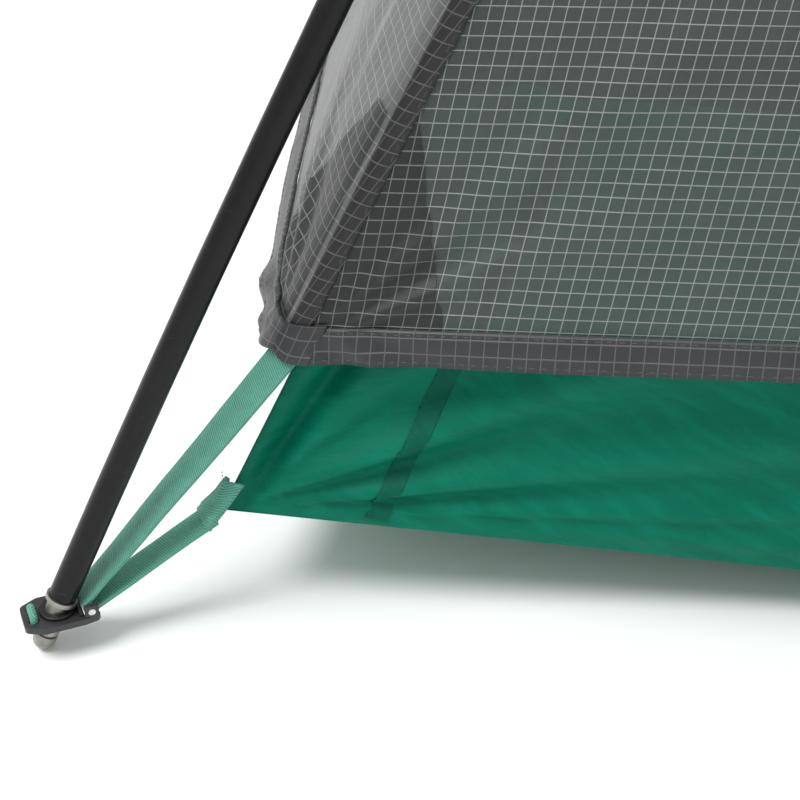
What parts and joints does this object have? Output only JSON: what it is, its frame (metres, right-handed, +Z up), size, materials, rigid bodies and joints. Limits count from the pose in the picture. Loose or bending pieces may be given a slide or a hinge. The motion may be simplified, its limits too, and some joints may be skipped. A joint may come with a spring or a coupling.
{
  "type": "tarp shelter",
  "caption": "Free-standing pole-supported shelter: grey canopy hung under crossing arched poles, green bathtub floor, webbing corners held in foot plates.",
  "frame": {"origin": "on the ground, at the centre of the shelter's four feet", "axes": "+X along the shelter's length, +Y from the door side to the back, +Z up"},
  "size_m": [2.164, 1.3438, 1.097],
  "materials": {
    "pole_tube": "dark grey anodised, satin",
    "aluminium_bright": "turned, satin",
    "elastic_cord": "braided cover",
    "black_plastic": "moulded, matt",
    "black_metal": "dark anodised, satin",
    "bar_steel": "drawn wire, polished by use",
    "green_cord": "braided cord",
    "green_webbing": "ribbed flat webbing",
    "grey_webbing": "ribbed flat webbing",
    "grey_cloth": "thin coated ripstop, silky",
    "dark_cloth": "coated cloth, felled and stitched",
    "green_cloth": "coated floor cloth, semi-gloss",
    "zip_coil": "woven tape and coil",
    "zip_metal": "dark lacquered"
  },
  "bodies": {
    "shelter": {"canopy_back": "grey_cloth", "canopy_front": "grey_cloth", "canopy_hem": "dark_cloth", "canopy_left": "grey_cloth", "canopy_right": "grey_cloth", "clip_tapes": "grey_webbing", "corner_patches": "dark_cloth", "corner_strap_back_left": "green_webbing", "corner_strap_back_right": "green_webbing", "corner_strap_front_left": "green_webbing", "corner_strap_front_right": "green_webbing", "crossing_hub": "black_plastic", "crown_patch": "dark_cloth", "floor_base": "green_cloth", "floor_corner_pieces": "green_cloth", "floor_wall_back": "green_cloth", "floor_wall_front": "green_cloth", "floor_wall_left": "green_cloth", "floor_wall_right": "green_cloth", "lower_pole_section_1": "pole_tube", "lower_pole_section_2": "pole_tube", "lower_pole_section_3": "pole_tube", "lower_pole_section_4": "pole_tube", "lower_pole_section_5": "pole_tube", "lower_pole_section_6": "pole_tube", "lower_pole_section_7": "pole_tube", "lower_pole_section_8": "pole_tube", "lower_pole_shock_cord": "elastic_cord", "pole_clips": "black_plastic", "pole_ferrules": "aluminium_bright", "pole_tips": "aluminium_bright", "strap_tabs": "green_webbing", "upper_pole_section_1": "pole_tube", "upper_pole_section_2": "pole_tube", "upper_pole_section_3": "pole_tube", "upper_pole_section_4": "pole_tube", "upper_pole_section_5": "pole_tube", "upper_pole_section_6": "pole_tube", "upper_pole_section_7": "pole_tube", "upper_pole_section_8": "pole_tube", "upper_pole_shock_cord": "elastic_cord", "zip_tapes": "zip_coil"},
    "plate_front_left": {"foot_plate_front_left": "black_plastic", "plate_grommet_front_left": "black_metal", "webbing_bar_front_left": "bar_steel", "stake_loop_front_left": "green_cord"},
    "plate_front_right": {"foot_plate_front_right": "black_plastic", "plate_grommet_front_right": "black_metal", "webbing_bar_front_right": "bar_steel", "stake_loop_front_right": "green_cord"},
    "plate_back_right": {"foot_plate_back_right": "black_plastic", "plate_grommet_back_right": "black_metal", "webbing_bar_back_right": "bar_steel", "stake_loop_back_right": "green_cord"},
    "plate_back_left": {"foot_plate_back_left": "black_plastic", "plate_grommet_back_left": "black_metal", "webbing_bar_back_left": "bar_steel", "stake_loop_back_left": "green_cord"},
    "zip_slider": {"zip_slider": "zip_metal"},
    "zip_puller": {"zip_puller": "zip_metal"}
  },
  "joints": [
    {"name": "plate_pull_front_left", "type": "slide", "parent": "shelter", "child": "plate_front_left", "axis": [-0.3728, -0.2306, -0.8988], "range_m": [0, 0.02], "deforming": ["corner_strap_front_left"]},
    {"name": "plate_pull_front_right", "type": "slide", "parent": "shelter", "child": "plate_front_right", "axis": [0.3673, -0.2272, -0.9019], "range_m": [0, 0.02], "deforming": ["corner_strap_front_right"]},
    {"name": "plate_pull_back_right", "type": "slide", "parent": "shelter", "child": "plate_back_right", "axis": [0.3728, 0.2306, -0.8988], "range_m": [0, 0.02], "deforming": ["corner_strap_back_right"]},
    {"name": "plate_pull_back_left", "type": "slide", "parent": "shelter", "child": "plate_back_left", "axis": [-0.3673, 0.2272, -0.9019], "range_m": [0, 0.02], "deforming": ["corner_strap_back_left"]},
    {"name": "zip_run", "type": "slide", "parent": "shelter", "child": "zip_slider", "axis": [0, 0.3215, 0.9469], "range_m": [0, 0.43]},
    {"name": "puller_swing", "type": "hinge", "parent": "zip_slider", "child": "zip_puller", "pos_m": [0, -0.60403, 0.14461], "axis": [-1, 0, 0], "range_deg": [0, 150]}
  ]
}
